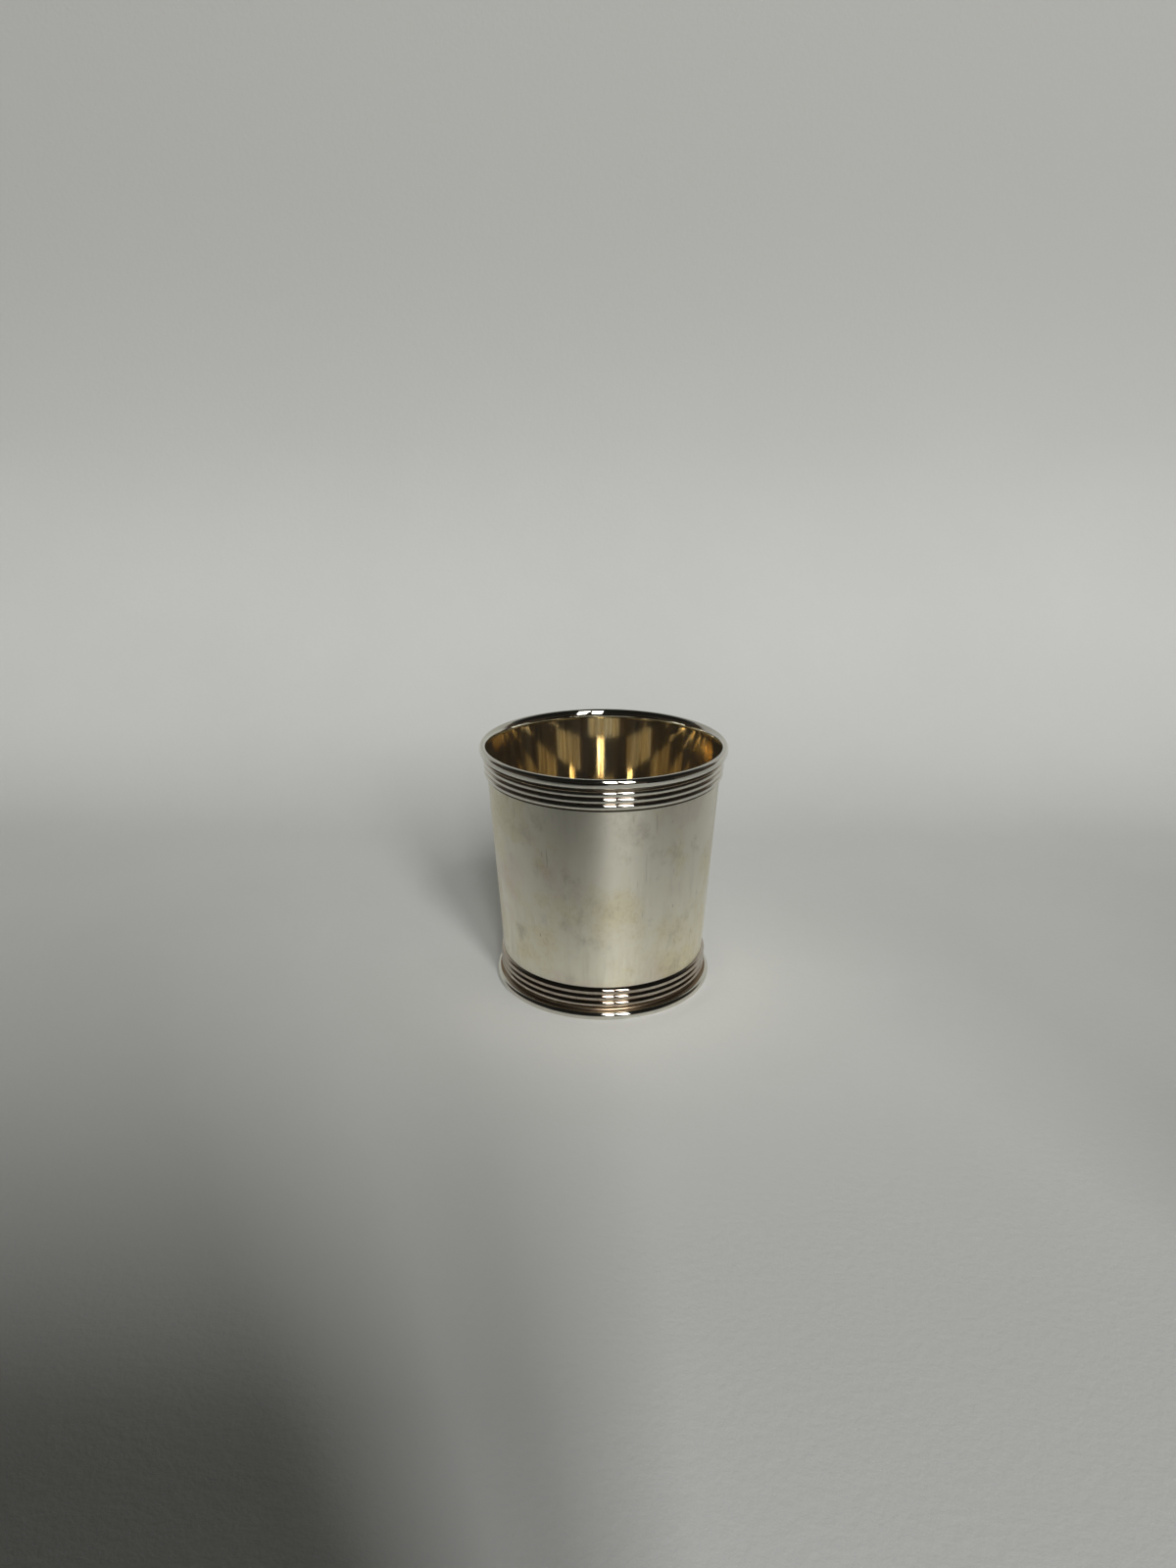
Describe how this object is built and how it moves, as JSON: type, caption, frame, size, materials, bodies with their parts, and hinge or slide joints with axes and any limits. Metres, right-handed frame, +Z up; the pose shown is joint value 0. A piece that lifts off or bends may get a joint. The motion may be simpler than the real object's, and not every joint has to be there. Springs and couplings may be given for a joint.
{
  "type": "silver cup",
  "caption": "Small tapering silver beaker with a rounded lip, reeded bands at rim and base, a spreading foot ring and a gilt inside; holds a drink and stands free.",
  "frame": {"origin": "centre of the foot, on the surface that the cup stands on", "axes": "+Z up along the axis of the cup, towards the mouth; +X and +Y are equal round the axis"},
  "size_m": [0.08, 0.08, 0.081],
  "materials": {
    "satin_silver": "satin sterling silver with fine scratches and light yellow tarnish, gilt on the inner face",
    "polished_silver": "polished sterling silver with warm tarnish in the grooves",
    "gilt_silver": "polished gilding over silver on the upper face, plain silver underneath"
  },
  "bodies": {
    "root": {"wall": "satin_silver", "bottom": "gilt_silver", "lip_wire": "polished_silver", "rim_reed_band": "polished_silver", "foot_reed_band": "polished_silver", "foot_ring": "polished_silver"}
  },
  "joints": []
}
